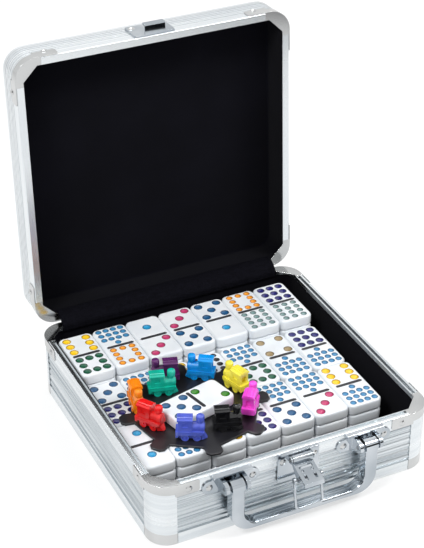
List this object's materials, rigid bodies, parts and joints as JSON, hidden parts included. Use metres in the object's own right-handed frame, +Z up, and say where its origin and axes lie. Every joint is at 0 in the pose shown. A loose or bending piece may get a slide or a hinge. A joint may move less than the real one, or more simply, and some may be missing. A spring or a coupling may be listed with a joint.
{
  "type": "domino set case",
  "caption": "Square hard case with hinged lid, draw latch and swinging handle, filled with layers of dominoes, a hub plate and toy locomotives.",
  "frame": {"origin": "centre of the case body's outline, on the surface it stands on", "axes": "+X to the right seen from the front, +Y to the hinge at the back, +Z up"},
  "size_m": [0.193, 0.2476, 0.2406],
  "materials": {
    "aluminium": "satin extruded rails",
    "ribbed_sheet": "ribbed satin sheet",
    "nickel": "nickel plated pressed sheet",
    "chrome": "bright plated",
    "steel": "plain pin",
    "board": "fibreboard",
    "lining": "short black pile",
    "hinge_cloth": "black woven strip",
    "base_sheet": "black faced fibreboard",
    "lid_sheet": "satin sheet",
    "tile": "polished white resin",
    "hub": "satin black",
    "train_purple": "moulded glossy plastic",
    "train_teal": "moulded glossy plastic",
    "train_light_blue": "moulded glossy plastic",
    "train_yellow": "moulded glossy plastic",
    "train_pink": "moulded glossy plastic",
    "train_black": "moulded glossy plastic",
    "train_periwinkle": "moulded glossy plastic",
    "train_red": "moulded glossy plastic",
    "train_orange": "moulded glossy plastic"
  },
  "bodies": {
    "case_body": {"panel_front": "ribbed_sheet", "panel_back": "ribbed_sheet", "panel_left": "ribbed_sheet", "panel_right": "ribbed_sheet", "body_rim": "aluminium", "foot_rails": "aluminium", "corner_feet": "nickel", "corner_posts": "aluminium", "base_board": "base_sheet", "wall_boards": "board", "body_lining": "lining", "body_corner_caps": "nickel", "body_rivets": "nickel", "latch_base": "chrome", "latch_pin": "steel", "latch_rivets": "nickel", "handle_bracket_left": "chrome", "handle_bracket_right": "chrome", "handle_pin_left": "steel", "handle_pin_right": "steel", "bracket_rivets": "nickel", "hinge_leaf_body": "nickel", "hinge_pin": "steel", "hinge_cloth": "hinge_cloth"},
    "lid": {"lid_frame": "aluminium", "lid_band": "aluminium", "lid_panel": "lid_sheet", "lid_top_board": "board", "lid_wall_boards": "board", "lid_lining": "lining", "lid_corner_caps": "nickel", "lid_rivets": "nickel", "catch_plate": "chrome", "catch_rivets": "nickel", "hinge_leaf_lid": "nickel"},
    "handle": {"handle": "chrome"},
    "latch_lever": {"latch_lever": "chrome"},
    "bail_pin": {"bail_pin": "steel"},
    "latch_bail": {"latch_bail": "chrome"},
    "tiles_1": {"tiles_layer_1": "tile"},
    "tiles_2": {"tiles_layer_2": "tile"},
    "tiles_3": {"tiles_layer_3": "tile"},
    "tiles_4": {"tiles_layer_4": "tile"},
    "tiles_top": {"tiles_top_row": "tile"},
    "hub": {"hub": "hub"},
    "hub_tile": {"hub_tile": "tile"},
    "train_purple": {"train_purple": "train_purple"},
    "train_teal": {"train_teal": "train_teal"},
    "train_light_blue": {"train_light_blue": "train_light_blue"},
    "train_yellow": {"train_yellow": "train_yellow"},
    "train_pink": {"train_pink": "train_pink"},
    "train_black": {"train_black": "train_black"},
    "train_periwinkle": {"train_periwinkle": "train_periwinkle"},
    "train_red": {"train_red": "train_red"},
    "train_orange": {"train_orange": "train_orange"}
  },
  "joints": [
    {"name": "lid_hinge", "type": "hinge", "parent": "case_body", "child": "lid", "pos_m": [0, 0.09525, 0.0443], "axis": [-1, 0, 0], "range_deg": [-93, 0], "deforming": ["hinge_cloth"]},
    {"name": "handle_swing", "type": "hinge", "parent": "case_body", "child": "handle", "pos_m": [0, -0.1015, 0.0378], "axis": [-1, 0, 0], "range_deg": [0, 95]},
    {"name": "lever_swing", "type": "hinge", "parent": "case_body", "child": "latch_lever", "pos_m": [0, -0.0985, 0.0414], "axis": [-1, 0, 0], "range_deg": [-47, 50]},
    {"name": "bail_pin_turn", "type": "hinge", "parent": "latch_lever", "child": "bail_pin", "pos_m": [0, -0.1066, 0.0322], "axis": [-1, 0, 0], "range_deg": [-51, 51]},
    {"name": "bail_swing", "type": "hinge", "parent": "bail_pin", "child": "latch_bail", "pos_m": [0, -0.1066, 0.0322], "axis": [1, 0, 0], "range_deg": [-169.2, 12]},
    {"name": "lift_tiles_1", "type": "slide", "parent": "case_body", "child": "tiles_1", "axis": [0, 0, 1], "range_m": [0, 0.05]},
    {"name": "lift_tiles_2", "type": "slide", "parent": "tiles_1", "child": "tiles_2", "axis": [0, 0, 1], "range_m": [0, 0.05]},
    {"name": "lift_tiles_3", "type": "slide", "parent": "tiles_2", "child": "tiles_3", "axis": [0, 0, 1], "range_m": [0, 0.05]},
    {"name": "lift_tiles_4", "type": "slide", "parent": "tiles_3", "child": "tiles_4", "axis": [0, 0, 1], "range_m": [0, 0.05]},
    {"name": "lift_top_row", "type": "slide", "parent": "tiles_4", "child": "tiles_top", "axis": [0, 0, 1], "range_m": [0, 0.05]},
    {"name": "lift_hub", "type": "slide", "parent": "tiles_4", "child": "hub", "axis": [0, 0, 1], "range_m": [0, 0.05]},
    {"name": "lift_hub_tile", "type": "slide", "parent": "hub", "child": "hub_tile", "axis": [0, 0, 1], "range_m": [0, 0.04]},
    {"name": "lift_purple", "type": "slide", "parent": "hub", "child": "train_purple", "axis": [0, 0, 1], "range_m": [0, 0.06]},
    {"name": "lift_teal", "type": "slide", "parent": "hub", "child": "train_teal", "axis": [0, 0, 1], "range_m": [0, 0.06]},
    {"name": "lift_light_blue", "type": "slide", "parent": "hub", "child": "train_light_blue", "axis": [0, 0, 1], "range_m": [0, 0.06]},
    {"name": "lift_yellow", "type": "slide", "parent": "hub", "child": "train_yellow", "axis": [0, 0, 1], "range_m": [0, 0.06]},
    {"name": "lift_pink", "type": "slide", "parent": "hub", "child": "train_pink", "axis": [0, 0, 1], "range_m": [0, 0.06]},
    {"name": "lift_black", "type": "slide", "parent": "hub", "child": "train_black", "axis": [0, 0, 1], "range_m": [0, 0.06]},
    {"name": "lift_periwinkle", "type": "slide", "parent": "hub", "child": "train_periwinkle", "axis": [0, 0, 1], "range_m": [0, 0.06]},
    {"name": "lift_red", "type": "slide", "parent": "hub", "child": "train_red", "axis": [0, 0, 1], "range_m": [0, 0.06]},
    {"name": "lift_orange", "type": "slide", "parent": "hub", "child": "train_orange", "axis": [0, 0, 1], "range_m": [0, 0.06]}
  ],
  "couplings": [
    {"joint": "bail_pin_turn", "follows": "lever_swing", "ratio": -1}
  ]
}
